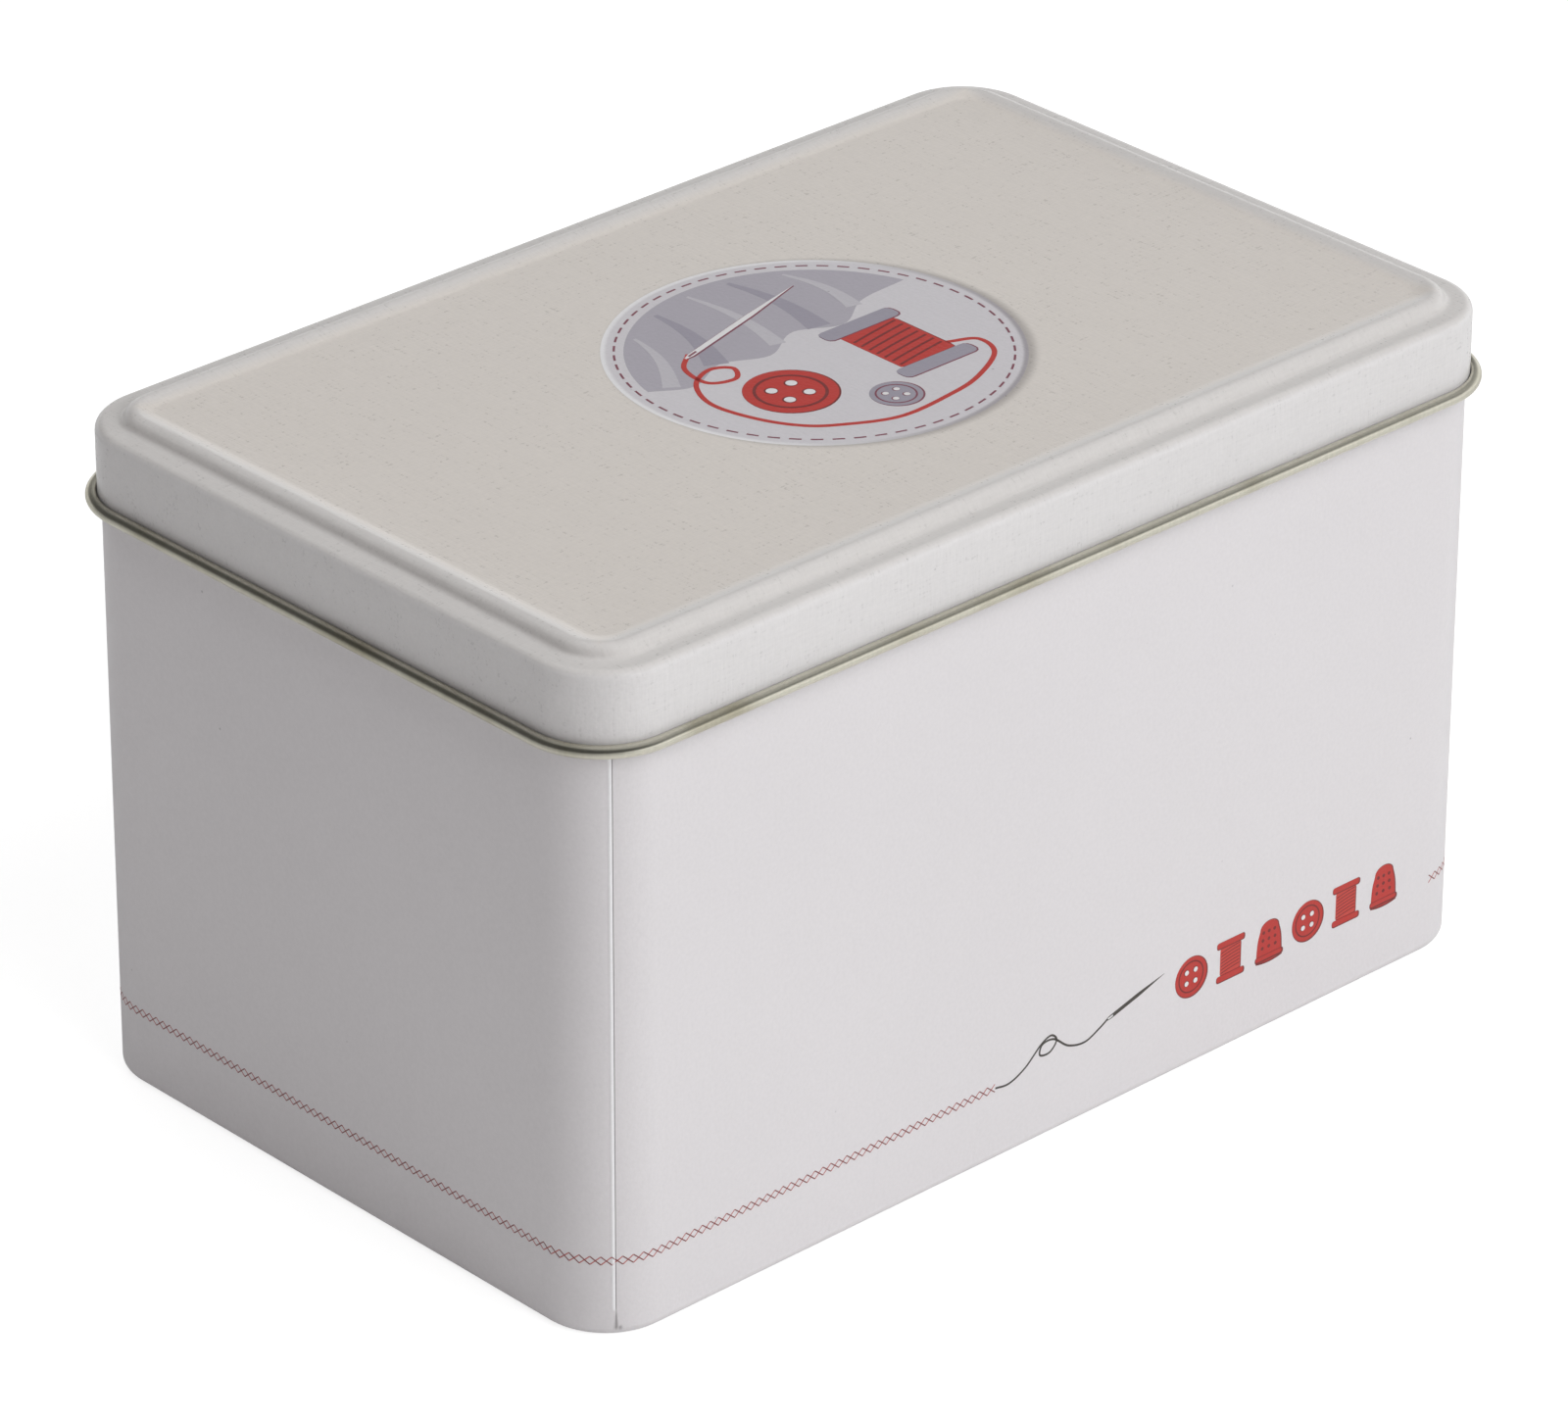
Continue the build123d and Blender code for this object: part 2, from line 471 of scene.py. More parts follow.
def tin(name, clean, stain, metallic, roughness):
    """Bare or thinly lacquered tin, streaked along and across, with faint stains."""
    material, tree, shader = new_material(name)
    place = node(tree, "TexCoord").outputs["Object"]
    level_scale = (streaks_round, streaks_round, streaks_up)
    upward_scale = (cross_round, cross_round, cross_up)
    streaks = drawn_noise(tree, place, level_scale, line_detail)
    cross_lines = drawn_noise(tree, place, upward_scale, line_detail)
    clouds = noise_about_zero(tree, place, clouds_per_metre, cloud_detail)
    stained = ramp(tree, clouds, stain_from, stain_to)
    given = {"Vector": place, "Specks": tin_specks, "Drift": tin_drift}
    spots = placed(tree, speck_group, given)
    shade = sums(tree, "MULTIPLY_ADD", streaks, line_shade, spots["Factor"])
    shade = sums(tree, "MULTIPLY_ADD", cross_lines, line_shade, shade)
    tone = mixed(tree, stained, clean, stain)
    base = node(tree, "VectorMath", {0: tone, "Scale": shade}, operation="SCALE")
    bump = node(tree, "Bump", {"Height": streaks, "Distance": streak_depth})
    inputs = {"Base Color": base.outputs[0], "Metallic": metallic}
    inputs["Roughness"] = sums(tree, "MULTIPLY_ADD", clouds, cloud_roughness, roughness)
    inputs["Normal"] = bump.outputs["Normal"]
    wire(tree, shader, inputs)
    return material


bead_clean = colour(220, 217, 202)
bead_stain = colour(190, 185, 164)
inside_clean = colour(217, 216, 212)
inside_stain = colour(211, 209, 204)
burnished_tin = tin("burnished_tin", bead_clean, bead_stain, metallic=1.0, roughness=0.3)
tinplate = tin("bare_tinplate", inside_clean, inside_stain, metallic=0.6, roughness=0.42)
print("materials:", burnished_tin.name, tinplate.name)

# %% [markdown]
# The wall is one blank, rolled so that its ends meet at the near left corner. Its foot rolls
# inwards round the hooked edge of the bottom, and its rim rolls inwards so that no raw edge is
# felt. The seam is folded inside and flattened. Outside it leaves a fine ridge with a dark crack
# to its right, which ends in a small notch above the foot, where the fold stops. Bell curves
# across the seam give both, and smooth steps end them above the foot.

# %% Shape of the seam
seam_turn = 55.0
seam_run = body_corner * np.radians(seam_turn)
ridge_offset = -0.35
ridge_width = 0.27
ridge_height = 0.11
crack_width = 0.055
crack_depth = 0.12
seam_foot = 4.3
seam_foot_fade = 0.7
notch_low = 1.0
notch_high = 4.6
notch_width = 0.33
notch_foot_fade = 0.6
notch_share = 0.8
nip_away = 0.62
nip_height = 1.5
nip_width = 0.3
nip_rise = 0.35


def bell(value):
    """Bell curve of height 1: one over e to the square of the value."""
    return np.exp(-(value**2))


def notch_shape(away, height):
    """V-shaped dent, wide at the foot and closed at its top, with a small nip to its right."""
    up = np.clip((height - notch_low) / (notch_high - notch_low), 0, 1)
    low_end = smooth_step((height - notch_low) / notch_foot_fade)
    width = notch_width * (1 - up) + near_mark
    dent = low_end * np.where(height < notch_high, bell(away / width), 0)
    nip = bell((away - nip_away) / nip_width) * bell((height - nip_height) / nip_rise)
    return np.maximum(dent, nip)


def seam_crack(run, height):
    """Share of the crack's depth at a place: 1 in the crack or the notch, and 0 beside them."""
    away = run - seam_run
    present = smooth_step((height - seam_foot) / seam_foot_fade)
    crack = present * bell(away / crack_width)
    return np.maximum(crack, notch_share * notch_shape(away, height))


def seam_ridge(run, height):
    """Share of the ridge's height at a place: 1 on its crest."""
    present = smooth_step((height - seam_foot) / seam_foot_fade)
    return present * bell((run - seam_run - ridge_offset) / ridge_width)


def seam_relief(run, height):
    """Height of the seam over the wall: the ridge less the crack."""
    return ridge_height * seam_ridge(run, height) - crack_depth * seam_crack(run, height)


# %% [markdown]
# The walk round the tin is a list of distances. Corners need close steps to look round, and the
# sides only enough to carry the waviness. The seam's ridge and crack are finer than either, so
# the wall's own walk has the closest steps there.

# %% Steps of the walk round the tin
corner_steps = 22
side_step = 4.2
seam_reach = 1.4
seam_step = 0.05
walk_digits = 3

corner_ends = np.cumsum(wall_parts)
walk = [np.linspace(0, wall_parts[0], corner_steps)]
for part in range(1, len(wall_parts)):
    count = corner_steps if part % 2 == 0 else int(wall_parts[part] / side_step)
    walk.append(corner_ends[part - 1] + np.linspace(0, wall_parts[part], count))
plain_walk = np.unique(np.round(np.concatenate(walk)[:-1], walk_digits))
near_seam = seam_run + np.arange(-seam_reach, seam_reach, seam_step)
away_from_seam = plain_walk[np.abs(plain_walk - seam_run) > seam_reach]
wall_walk = np.sort(np.concatenate([away_from_seam, near_seam]))
print(f"walk: {len(plain_walk)} steps, {len(wall_walk)} with the seam's")


# %% [markdown]
# The wall's section is the outer face from foot to rim and back down the inner face. Carried
# round the walk it closes on itself both ways, so it is one shell with a real thickness. The
# section has extra rows at the seam's notch, the finest shape along it. The outer face is
# lacquered, and what the rolls turn inwards is bare tin.


# %% The wall
def carried(section, run, share=None, relief=None):
    """Rings of a section: share times (outline less inset times normal, plus relief)."""
    points, normals = outline(run)
    out = -section[:, 0][:, None]
    if relief is not None:
        out = out + relief
    flat = points[None] + out[..., None] * normals[None]
    if share is not None:
        flat = flat * share[:, None, None]
    height = np.broadcast_to(section[:, 1][:, None], flat.shape[:2])
    return np.concatenate([flat, height[..., None]], axis=-1)


foot_radius = 1.6
foot_inner = 2.4
foot_return = 0.2
rim_radius = 1.0
rim_turn = 305.0
rim_height = rim_top - rim_radius
wall_bends = [
    ((foot_inner, foot_radius), foot_radius, 90, -180),
    ((foot_radius, foot_radius), foot_radius, 270, -90),
    ((rim_radius, rim_height), rim_radius, 180, -rim_turn),
]
wall_step = 4.5
detail_from = 8.6
detail_to = 12.6
detail_step = 0.25
notch_rows = np.arange(detail_from, detail_to, detail_step)


def wall_face(depth):
    """One face of the wall's sheet, from inside the foot to the end of the rim's roll."""
    face = bent_face(wall_bends, depth, 1)
    lead_in = face[0] - [foot_return, 0]
    return refined(np.vstack([lead_in, face]), wall_step, notch_rows)


outer_face = wall_face(0)
inner_face = wall_face(sheet)
wall_section = np.concatenate([outer_face, inner_face[::-1]])
on_outside = np.arange(len(wall_section)) < len(outer_face)
run_grid, height_grid = np.meshgrid(wall_walk, wall_section[:, 1])
upright = (wall_section[:, 0] < sheet + near_mark)[:, None]
upright_outside = upright & on_outside[:, None]
swell = np.where(upright, wall_swell(run_grid, height_grid), 0)
seam = np.where(upright_outside, seam_relief(run_grid, height_grid), 0)
wall_rings = carried(wall_section, wall_walk, relief=swell + seam)
print(f"the wall's section has {len(wall_section)} points")

# %% [markdown]
# The seam's shape also tints it. Its ridge gets a painted highlight: a paler colour for the light
# that the fold catches. Its crack and notch get a painted shade with dirt: a darker colour for the
# shade and grime in them. Both shares are kept on the mesh as attributes, so the material reads
# the same numbers that bent the surface, and no picture has to be lined up with it.

# %% The wall's finish and its mesh
wall_colour = colour(217, 214, 216)
# painted highlight: the seam's ridge is tinted this paler colour for the light it catches
ridge_highlight_colour = colour(243, 243, 245)
# painted shade with dirt: the seam's crack and notch are tinted this dark colour
crack_shade_and_dirt = colour(132, 128, 129)


def wall_base(tree, place):
    """White lacquer with a painted highlight on the seam's ridge, and painted shade and dirt in
    its crack.
    """
    crack = node(tree, "Attribute", attribute_name="crack").outputs["Fac"]
    ridge = node(tree, "Attribute", attribute_name="ridge").outputs["Fac"]
    lit_ridge = mixed(tree, ridge, wall_colour, ridge_highlight_colour)
    return mixed(tree, crack, lit_ridge, crack_shade_and_dirt)


white_lacquer = lacquer("white_lacquer", wall_base, roughness=0.34, linen=0.12)
wall_piece = new_piece(
    "wall_shell", [skin(wall_rings)], [white_lacquer, tinplate], "tin_body"
)
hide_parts("body_wall")
for label, share_at in (("crack", seam_crack), ("ridge", seam_ridge)):
    marked = np.where(upright_outside, share_at(run_grid, height_grid), 0)
    layer = wall_piece.data.attributes.new(label, "FLOAT", "POINT")
    layer.data.foreach_set("value", marked.ravel())
wall_bare_faces = np.repeat(~on_outside, len(wall_walk))
wall_piece.data.polygons.foreach_set("material_index", wall_bare_faces)

# %% [markdown]
# Inside, the folded layers of the seam are hammered into a flat strip that runs up the corner.
# It is a bar with a rounded section: rings of one outline, set one above another, thinner at
# both ends.

# %% The folded seam
fold_width = 4.0
fold_thick = 0.75
fold_gap = 0.6
fold_low = plate_top + fold_gap
fold_high = rim_top - 2 * rim_radius - fold_gap
fold_corner = 0.3
fold_sink = 0.1
fold_steps = 36
fold_taper = 0.3
fold_end_share = 0.55

fold_total = stretches(fold_width, fold_thick + fold_sink, fold_corner).sum()
fold_walk = np.linspace(0, fold_total, fold_steps, endpoint=False)
fold_outline, _ = round_box(fold_walk, fold_width, fold_thick + fold_sink, fold_corner)
fold_across = seam_run - fold_width / 2 + fold_outline[:, 0]
fold_inset = sheet + (fold_thick - fold_sink) / 2
fold_levels = np.array([fold_low, fold_low + fold_taper, fold_high - fold_taper, fold_high])
fold_share = np.array([fold_end_share, 1.0, 1.0, fold_end_share])
fold_points, fold_normals = outline(fold_across)
fold_depth = fold_inset + fold_outline[:, 1] * fold_share[:, None]
fold_flat = fold_points - fold_depth[..., None] * fold_normals
fold_height = np.broadcast_to(fold_levels[:, None, None], (*fold_depth.shape, 1))
fold_rings = np.concatenate([fold_flat, fold_height], axis=-1)
fold_poles = [fold_rings[0].mean(axis=0), fold_rings[-1].mean(axis=0)]
fold_piece = new_piece(
    "side_seam_fold",
    [skin(fold_rings, fold_poles)],
    [tinplate],
    "tin_body",
    smooth=False,
)
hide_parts("body_wall")

# %% [markdown]
# The bottom and the lid are drawn from flat sheet, so each is one closed body: from the middle
# of its under face out to the edge, round the bends, and back over to the middle of its top
# face. Inside the last bend the rings shrink towards the middle, where a pole closes them.

# %% Helper: a drawn sheet with a flat middle
middle_rings = 13


def drawn_shell(under, top, flat_inset, height_at):
    """Rings and poles of a drawn sheet. Its two faces run from the flat middle to the edge."""
    share = np.linspace(0, 1, middle_rings + 1)[1:-1]
    middle = np.column_stack([np.full(len(share), flat_inset), np.full(len(share), under[0, 1])])
    over = np.column_stack([middle[:, 0], np.full(len(share), top[0, 1])])
    section = np.concatenate([middle, under, top[::-1], over[::-1]])
    whole = np.ones(len(under) + len(top))
    shares = np.concatenate([share, whole, share[::-1]])
    rings = carried(section, plain_walk, shares)
    rings[..., 2] += height_at(rings[..., 0], rings[..., 1], shares[:, None])
    centre = height_at(0.0, 0.0, 0.0)
    poles = [(0, 0, under[0, 1] + centre), (0, 0, top[0, 1] + centre)]
    bare = np.arange(len(section)) < len(middle) + len(under)
    return rings, poles, bare


# %% [markdown]
# The bottom lies on the wall's rolled foot. Its edge turns down and hooks round inside the roll,
# with a little play, so that the two sheets hold each other. Its bends are listed from the end
# of the hook to the flat middle.

# %% The bottom
plate_play = 0.1
hook_rise = 40.0
plate_radius = 1.2
plate_flat = 5.0
plate_step = 4.0
hook_radius = foot_radius - sheet - plate_play
plate_turn = (sheet + plate_play + plate_radius, plate_top - plate_radius)
plate_bends = [
    ((foot_inner, foot_radius), hook_radius, hook_rise, -90 - hook_rise),
    ((foot_radius, foot_radius), hook_radius, 270, -90),
    (plate_turn, plate_radius, 180, -90),
]


def plate_face(depth):
    """One face of the bottom's sheet, from the flat middle to the end of the hook."""
    face = bent_face(plate_bends, depth, 1)
    return refined(np.vstack([face, [plate_flat, face[-1, 1]]])[::-1], plate_step)


def stays_flat(x, y, share):
    """No dip: the middle of the bottom is flat everywhere."""
    return np.zeros(np.shape(x))


plate_rings, plate_poles, _ = drawn_shell(plate_face(sheet), plate_face(0), plate_flat, stays_flat)
plate_piece = new_piece(
    "bottom_shell", [skin(plate_rings, plate_poles)], [tinplate], "tin_body"
)
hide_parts("bottom_plate")

# %% [markdown]
# The lid is pressed in one stroke: a flat panel, a raised ring round it that stiffens the sheet,
# a narrow ledge, a rounded edge and a skirt. Its hem is then curled outwards into a hollow bead.
# The curl turns the inner face of the sheet out, and that face has no lacquer, so the bead is
# bare tin. The ring is steep outside and shallow inside, where a straight slope joins its crest
# to the panel. The bends are listed from the panel to the end of the curl.

# %% The lid
ledge_height = 112.4
ledge_inset = 3.5
edge_radius = 1.5
ring_run = 2.8
ring_foot_radius = 1.1
inner_slope = 14.0
panel_foot_radius = 4.0
curl_height = 100.0
curl_radius = 1.05
curl_hollow = curl_radius - sheet
curl_turn = 308.2
lid_step = 2.6

crest_inset = ledge_inset + ring_run
ring_rise = crest_top - ledge_height
both_radii = (ring_run**2 + ring_rise**2) / (2 * ring_rise)
crest_radius = both_radii - ring_foot_radius
outer_slope = np.degrees(np.arcsin(ring_run / both_radii))
panel_foot = (panel_inset, panel_top + panel_foot_radius)
ring_crest = (crest_inset, crest_top - crest_radius)
ring_foot = (ledge_inset, ledge_height + ring_foot_radius)
lid_edge = (edge_radius, ledge_height - edge_radius)
lid_bends = [
    (panel_foot, panel_foot_radius, 270, -inner_slope),
    (ring_crest, crest_radius, 90 - inner_slope, inner_slope + outer_slope),
    (ring_foot, ring_foot_radius, outer_slope - 90, -outer_slope),
    (lid_edge, edge_radius, 90, 90),
    ((-curl_hollow, curl_height), curl_hollow, 0, -curl_turn),
]


def lid_face(depth):
    """One face of the lid's sheet, as insets from the wall's outline."""
    face = refined(bent_face(lid_bends, depth, -1), lid_step)
    return face - [lid_offset, 0]


def panel_height(x, y, share):
    """The panel's dip, on the flat middle only."""
    return np.where(share < 1, panel_dip(x, y), 0)


lid_rings, lid_poles, lid_bare = drawn_shell(
    lid_face(sheet), lid_face(0), panel_inset - lid_offset, panel_height
)
print(f"the ring stands {ring_rise:.2f} mm over the ledge")

# %% [markdown]
# The panel's lacquer is a little warmer than that of the ring, the ledge and the skirt. Inset and
# height tell the three apart, and each tone fades into the next. A round patch is printed on the
# panel, and its printed soft shadow belongs to this lacquer, since it lies outside the patch.

# %% The lid's finish
panel_colour = colour(216, 210, 204)
panel_fade_out = 3.6
panel_fade_in = 1.2
ring_colour = colour(208, 205, 203)
skirt_colour = colour(215, 213, 213)
skirt_fade_low = 0.9
skirt_fade_high = 0.1

patch_x = 2.5
patch_y = -2.0
patch_radius = 33.0
shadow_colour = colour(120, 114, 112)
shadow_strength = 0.55
shadow_overlap = 0.7
shadow_reach = 1.3
shadow_shift = 0.55


def from_patch(tree, place, shift=0.0):
    """Distance from the patch's centre, in metres. The centre may be shifted right and down."""
    centre = ((patch_x + shift) * MM, (patch_y - shift) * MM, 0)
    flat = node(tree, "VectorMath", {0: place, 1: centre}, operation="SUBTRACT").outputs[0]
    level = node(tree, "VectorMath", {0: flat, 1: (1, 1, 0)}, operation="MULTIPLY").outputs[0]
    return node(tree, "VectorMath", {0: level}, operation="LENGTH").outputs["Value"]


def lid_base(tree, place):
    """Neutral lacquer, warmer on the panel, with the printed soft shadow round the patch."""
    at = node(tree, "SeparateXYZ", {0: place}).outputs
    inset_x = sums(tree, "SUBTRACT", body_length / 2 * MM, sums(tree, "ABSOLUTE", at["X"]))
    inset_y = sums(tree, "SUBTRACT", body_width / 2 * MM, sums(tree, "ABSOLUTE", at["Y"]))
    inset = sums(tree, "MINIMUM", inset_x, inset_y)
    panel_from = (panel_inset - panel_fade_out) * MM
    panel_to = (panel_inset - panel_fade_in) * MM
    on_panel = ramp(tree, inset, panel_from, panel_to)
    skirt_to = (ledge_height - skirt_fade_low) * MM
    ledge_from = (ledge_height - skirt_fade_high) * MM
    on_top = ramp(tree, at["Z"], skirt_to, ledge_from)
    away = from_patch(tree, place, shadow_shift)
    low = (patch_radius - shadow_overlap) * MM
    high = (patch_radius + shadow_reach) * MM
    round_patch = ramp(tree, away, low, high, shadow_strength, 0.0)
    shadow = sums(tree, "MULTIPLY", round_patch, on_panel)
    rim = mixed(tree, on_top, skirt_colour, ring_colour)
    plain = mixed(tree, on_panel, rim, panel_colour)
    return mixed(tree, shadow, plain, shadow_colour)


lid_lacquer = lacquer("lid_lacquer", lid_base, roughness=0.31, linen=0.8, specks=0.22, coat=0.22)
print("material:", lid_lacquer.name)

# %% [markdown]
# Three finishes share the lid's mesh. The outer face of the sheet is lacquered. Its inner face
# is dull tinplate inside the lid, and burnished where the curl turns it out. The mesh has its
# faces in rows, from the under side to the top, and those at the two poles come last.

# %% The lid's mesh
bead_reach = 2.0
lid_finishes = [lid_lacquer, tinplate, burnished_tin]
lacquered, dull, burnished = range(len(lid_finishes))
lid_piece = new_piece(
    "lid_shell", [skin(lid_rings, lid_poles)], lid_finishes, "lid_body"
)
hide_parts("lid")

lid_columns = len(plain_walk)
row_reach = np.linalg.norm(lid_rings[:, 0, :2] - outline(plain_walk[:1])[0], axis=1)
is_low = lid_rings[:, 0, 2] < curl_height + bead_reach
on_bead = (row_reach > lid_offset + near_mark) & is_low
row_finish = np.where(lid_bare, np.where(on_bead, burnished, dull), lacquered)
under_pole = np.full(lid_columns, dull)
top_pole = np.full(lid_columns, lacquered)
face_finish = np.concatenate([np.repeat(row_finish[:-1], lid_columns), under_pole, top_pole])
lid_piece.data.polygons.foreach_set("material_index", face_finish)
print(f"{np.sum(on_bead & lid_bare)} rows of the lid are on the burnished bead")

# %% [markdown]
# The print is modelled too: each area of ink is a film a few hundredths of a millimetre thick,
# rooted in the sheet. Kept as mesh, a line a fifth of a millimetre wide stays sharp at any
# distance, where a baked texture would lose it. A page knows how to lay a flat point on its
# sheet: the wall's page measures along the outline and up, and the lid's page uses x and y.

# %% Pages that take ink
ink_root = 0.06
ink_layer = 0.011


def on_wall(flat, lift):
    """Points on the wall, from distance along the outline, height, and lift off the sheet."""
    run, height = flat[..., 0], flat[..., 1]
    points, normals = outline(run)
    out = wall_swell(run, height) + seam_relief(np.mod(run, full_run), height) + lift
    return np.concatenate([points + out[..., None] * normals, height[..., None]], axis=-1)


def on_lid(flat, lift):
    """Points on the lid's panel, from x, y and lift off the sheet."""
    x, y = flat[..., 0], flat[..., 1]
    return np.stack([x, y, panel_top + panel_dip(x, y) + lift], axis=-1)


class Page:
    """A sheet that is printed on: it collects shapes of ink by colour."""

    def __init__(self, name, lay, body, slot):
        self.name = name
        self.lay = lay
        self.body = body
        self.slot = slot
        self.shapes = {}

    def add(self, ink, shape):
        """Keep a shape with the others of its colour."""
        self.shapes.setdefault(ink, []).append(shape)

    def fill(self, ink, outline_points, layer=1, rings=1):
        """Film inside a closed outline: rings between the outline and its middle."""
        middle = outline_points.mean(axis=0)
        share = np.linspace(0, 1, rings + 1)[1:, None, None]
        flat = middle + share * (outline_points - middle)
        top = self.lay(flat, layer * ink_layer)
        under = self.lay(flat, -ink_root)
        poles = [self.lay(middle, -ink_root), self.lay(middle, layer * ink_layer)]
        self.add(ink, skin(np.concatenate([under, top[::-1]]), poles))

    def band(self, ink, inner, outer, layer=1):
        """Film between two closed outlines with equally many points."""
        top, low = layer * ink_layer, -ink_root
        rings = [(inner, low), (outer, low), (outer, top), (inner, top)]
        self.add(ink, skin(np.stack([self.lay(flat, lift) for flat, lift in rings])))

    def lines(self, ink, paths, width, layer=1):
        """Film along open paths of shape (paths, points, 2): each is a thin bar."""
        along = np.gradient(paths, axis=1)
        along = along / np.linalg.norm(along, axis=-1, keepdims=True)
        across = np.stack([-along[..., 1], along[..., 0]], axis=-1)
        half = (np.broadcast_to(width, paths.shape[:2]) / 2)[..., None] * across
        top, low = layer * ink_layer, -ink_root
        edges = [(half, top), (-half, top), (-half, low), (half, low)]
        corners = np.stack([self.lay(paths + side, lift) for side, lift in edges], axis=2)
        count, steps = paths.shape[:2]
        first = (np.arange(count) * steps * 4)[:, None, None]
        step = (np.arange(steps - 1) * 4)[None, :, None]
        corner = np.arange(4)[None, None, :]
        turned = (corner + 1) % 4
        here = first + step
        quads = np.stack([here + corner, here + turned, here + 4 + turned, here + 4 + corner], -1)
        start_cap = first[:, 0] + [0, 3, 2, 1]
        end_cap = first[:, 0] + (steps - 1) * 4 + [0, 1, 2, 3]
        self.add(ink, (corners.reshape(-1, 3), [quads.reshape(-1, 4), start_cap, end_cap]))

    def print_all(self, inks):
        """One piece for each colour of ink."""
        for ink, shapes in self.shapes.items():
            name = f"{self.name}_{ink}"
            new_piece(name, shapes, [inks[ink]], self.body, smooth=False)


wall_page = Page("wall_print", on_wall, "tin_body", "white_lacquer")
lid_page = Page("lid_print", on_lid, "lid_body", "lid_lacquer")

# %% [markdown]
# Printed ink is stoved like the lacquer, so it has the same satin sheen and grain, with a little
# more drift of tone where the rollers laid it unevenly.

# %% Inks
ink_colours = {
    "red": (181, 46, 38),
    "deep_red": (112, 30, 28),
    "thread_red": (190, 62, 52),
    "stitch_under": (176, 92, 88),
    "stitch_over": (124, 60, 60),
    "charcoal": (62, 57, 52),
    "white": (222, 221, 222),
    "maroon": (122, 62, 78),
    "dusk": (168, 164, 173),
    "dusk_deep": (150, 146, 158),
    "dusk_pale": (186, 183, 189),
}
inks = {
    name: lacquer(f"ink_{name}", colour(*tone), roughness=0.36, linen=0.3, drift=0.12)
    for name, tone in ink_colours.items()
}
print("inks:", ", ".join(inks))

# %% [markdown]
# A chain of fine cross stitches is printed round the foot, as an edging that a sewing machine
# would make. It is interrupted on the front, where the motifs stand. Each cross is two bars from
# corner to corner of its cell. Neighbours touch, so their legs also make a chain of diamonds.
# The same few numbers make all the legs at once: their ends are arrays. The leg on top leans
# one way on the front and the right, and the other way on the back and the left.

# %% The line of stitches
stitch_pitch = 1.65
stitch_height = 1.4
stitch_line = 0.18
stitch_middle = 13.3
chain_stop = front_run(-13.3)
chain_start = front_run(84.1)
leg_points = 8
last_on_right = 4

chain_length = full_run - (chain_start - chain_stop)
stitch_count = round(chain_length / stitch_pitch)
cell = chain_length / stitch_count
cell_middle = chain_start + (np.arange(stitch_count) + 0.5) * cell
on_front_or_right = place_on(cell_middle, wall_parts)[0] <= last_on_right


def legs(lean):
    """Paths from corner to corner of every cell. Lean is 1 for legs that rise to the right."""
    share = np.linspace(-0.5, 0.5, leg_points)[None, :]
    along = cell_middle[:, None] + share * cell
    height = stitch_middle + share * stitch_height * lean
    return np.stack([along, np.broadcast_to(height, along.shape)], axis=-1)


over_lean = np.where(on_front_or_right, -1, 1)[:, None]
wall_page.lines("stitch_under", legs(-over_lean), stitch_line, layer=1)
wall_page.lines("stitch_over", legs(over_lean), stitch_line, layer=2)
print(f"{stitch_count} cross stitches, {cell:.3f} mm apart")

# %% [markdown]
# The motifs are plain outlines: circles, rounded boxes and soft curves through a few points.
# Each helper returns a closed outline or a path as an array, in the page's own millimetres.


# %% Outlines and paths
def circle(middle, radius, count=44):
    """Points at equal angles round a middle."""
    angle = np.linspace(0, 2 * np.pi, count, endpoint=False)
    return np.asarray(middle) + radius * np.stack([np.cos(angle), np.sin(angle)], axis=1)


def soft_box(middle, width, height, corner, count=48):
    """Rounded rectangle, upright, round a middle."""
    total = stretches(width, height, corner).sum()
    run = np.linspace(0, total, count, endpoint=False)
    return np.asarray(middle) + round_box(run, width, height, corner)[0]


def soft_path(knots, count):
    """Smooth curve through knots: each piece is a cubic with the slopes of its neighbours."""
    knots = np.asarray(knots, float)
    before = 2 * knots[:1] - knots[1:2]
    after = 2 * knots[-1:] - knots[-2:-1]
    held = np.concatenate([before, knots, after])
    place = np.linspace(0, len(knots) - 1, count)
    piece = np.minimum(place.astype(int), len(knots) - 2)
    t = (place - piece)[:, None]
    a, b, c, d = (held[piece + step] for step in range(4))
    cubic = (3 * (b - c) + d - a) * t**3
    return (cubic + (2 * a - 5 * b + 4 * c - d) * t**2 + (c - a) * t + 2 * b) / 2


# %% [markdown]
# Three sewing notions make the motifs: a four-hole button, a spool of thread and a thimble. Each
# is printed as a dark edge with a lighter face on it, which gives the shapes a slight relief.
# Most of the numbers are shares of a notion's own radius, width or height. The edge's line, the
# shift of the shade, the wound thread's corner and its sag are in millimetres.

# %% Button
edge_line = 0.16
shade_shift = np.array([0.12, -0.1])
groove_at = 0.7
groove_wide = 0.07
hole_at = 0.27
hole_wide = 0.12
hole_shade_wide = 0.15
hole_points = 20


def print_button(page, middle, radius, face, edge, hole, layer=1):
    """Edge, face, a groove inside the rim, and four holes."""
    middle = np.asarray(middle, float)
    page.fill(edge, circle(middle + shade_shift, radius), layer)
    page.fill(face, circle(middle, radius - edge_line), layer + 1)
    groove = radius * groove_at
    groove_end = groove + radius * groove_wide
    page.band(edge, circle(middle, groove), circle(middle, groove_end), layer + 2)
    for corner in ((-1, -1), (-1, 1), (1, -1), (1, 1)):
        hole_middle = middle + radius * hole_at * np.array(corner)
        shade = circle(hole_middle - shade_shift / 2, radius * hole_shade_wide, hole_points)
        page.fill(edge, shade, layer + 2)
        page.fill(hole, circle(hole_middle, radius * hole_wide, hole_points), layer + 3)


# %% [markdown]
# The spool's wound thread shows as slanting lines across its middle, each sagging a little, and
# their number follows the height.

